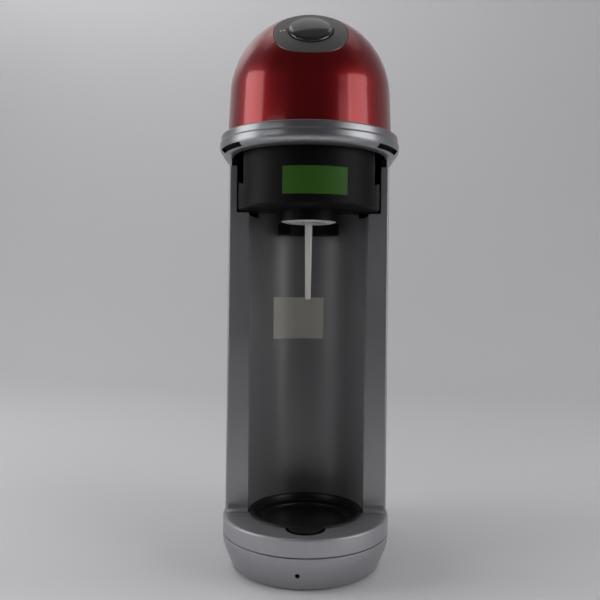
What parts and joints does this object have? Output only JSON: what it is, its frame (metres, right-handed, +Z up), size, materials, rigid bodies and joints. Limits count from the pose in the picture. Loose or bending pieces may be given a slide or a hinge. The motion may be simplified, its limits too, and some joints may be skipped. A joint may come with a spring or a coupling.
{
  "type": "sparkling water maker",
  "caption": "Countertop sparkling water maker: domed column with a bottle bay, tilting bottle head, push button on a sloping plate, drip tray and gas cylinder.",
  "frame": {"origin": "on the table, under the middle of the machine's plan", "axes": "+Z up, -Y towards the front with the bottle bay, +X to the right seen from the front"},
  "size_m": [0.1424, 0.1974, 0.4325],
  "materials": {
    "silver_shell": "satin silver metallic paint on moulded plastic",
    "silver_ring": "glossy silver metallic paint on moulded plastic",
    "red_dome": "deep red metallic gloss lacquer",
    "grey_plate": "satin grey plastic",
    "dark_liner": "satin dark grey plastic",
    "black_plastic": "fine textured black plastic",
    "gloss_black": "polished dark plastic",
    "pale_plastic": "pale grey plastic",
    "white_plastic": "white plastic",
    "lever_plastic": "glass filled plastic",
    "rubber": "matte rubber",
    "steel": "plain steel",
    "brass": "turned brass",
    "aluminium": "satin aluminium",
    "lens": "clear light lens"
  },
  "bodies": {
    "body": {"lower_shell": "silver_shell", "rubber_feet": "rubber", "base_screws": "steel", "upper_shell": "silver_shell", "front_housing": "silver_shell", "bay_liner": "dark_liner", "neck_bumper": "black_plastic", "chassis": "black_plastic", "frame_screws": "steel", "trim_ring": "silver_ring", "dome_cover": "red_dome", "control_plate": "grey_plate", "indicator_lights": "lens", "lever_pin": "steel", "lever_bracket": "steel", "lever_spring": "steel", "valve_block": "brass", "pin_spring": "steel", "cylinder_seal": "rubber", "cylinder_cradle": "black_plastic", "gas_hose": "rubber"},
    "button": {"button": "gloss_black"},
    "lever": {"lever": "lever_plastic"},
    "valve_pin": {"valve_pin": "steel"},
    "bottle_head": {"bottle_head": "black_plastic", "pivot_pins": "steel", "neck_socket": "pale_plastic", "socket_seal": "rubber", "carbonating_tube": "white_plastic", "relief_valve": "brass", "hose_fitting": "brass"},
    "drip_tray": {"drip_tray": "black_plastic"},
    "rear_cover": {"rear_cover": "silver_shell", "latch_spring": "steel"},
    "cover_latch": {"cover_latch": "black_plastic"},
    "gas_cylinder": {"gas_cylinder": "aluminium", "cylinder_valve": "brass"}
  },
  "joints": [
    {"name": "button_press", "type": "slide", "parent": "body", "child": "button", "axis": [0, 0.7431, -0.6691], "range_m": [0, 0.005], "stiffness_N_per_m": 2000, "springref_m": -0.004},
    {"name": "lever_rock", "type": "hinge", "parent": "body", "child": "lever", "pos_m": [0, 0.0783, 0.3687], "axis": [1, 0, 0], "range_deg": [0, 4.1], "deforming": ["lever_spring"]},
    {"name": "valve_pin_press", "type": "slide", "parent": "body", "child": "valve_pin", "axis": [0, 0, -1], "range_m": [0, 0.00164], "deforming": ["pin_spring"]},
    {"name": "head_tilt", "type": "hinge", "parent": "body", "child": "bottle_head", "pos_m": [0, -0.0205, 0.292], "axis": [-1, 0, 0], "range_deg": [0, 12], "deforming": ["gas_hose"]},
    {"name": "tray_lift", "type": "slide", "parent": "body", "child": "drip_tray", "axis": [0, 0, 1], "range_m": [0, 0.06]},
    {"name": "cover_pull", "type": "slide", "parent": "body", "child": "rear_cover", "axis": [0, 1, 0], "range_m": [0, 0.12]},
    {"name": "latch_press", "type": "slide", "parent": "rear_cover", "child": "cover_latch", "axis": [0, 0, -1], "range_m": [0, 0.004], "stiffness_N_per_m": 500, "springref_m": -0.003, "deforming": ["latch_spring"]},
    {"name": "cylinder_unscrew", "type": "hinge", "parent": "body", "child": "gas_cylinder", "pos_m": [0, 0.0553, 0.15], "axis": [0, 0, 1], "range_deg": [0, 1080]}
  ],
  "couplings": [
    {"joint": "lever_rock", "follows": "button_press", "rad_per_m": 14.17},
    {"joint": "valve_pin_press", "follows": "button_press", "ratio": 0.32591}
  ]
}
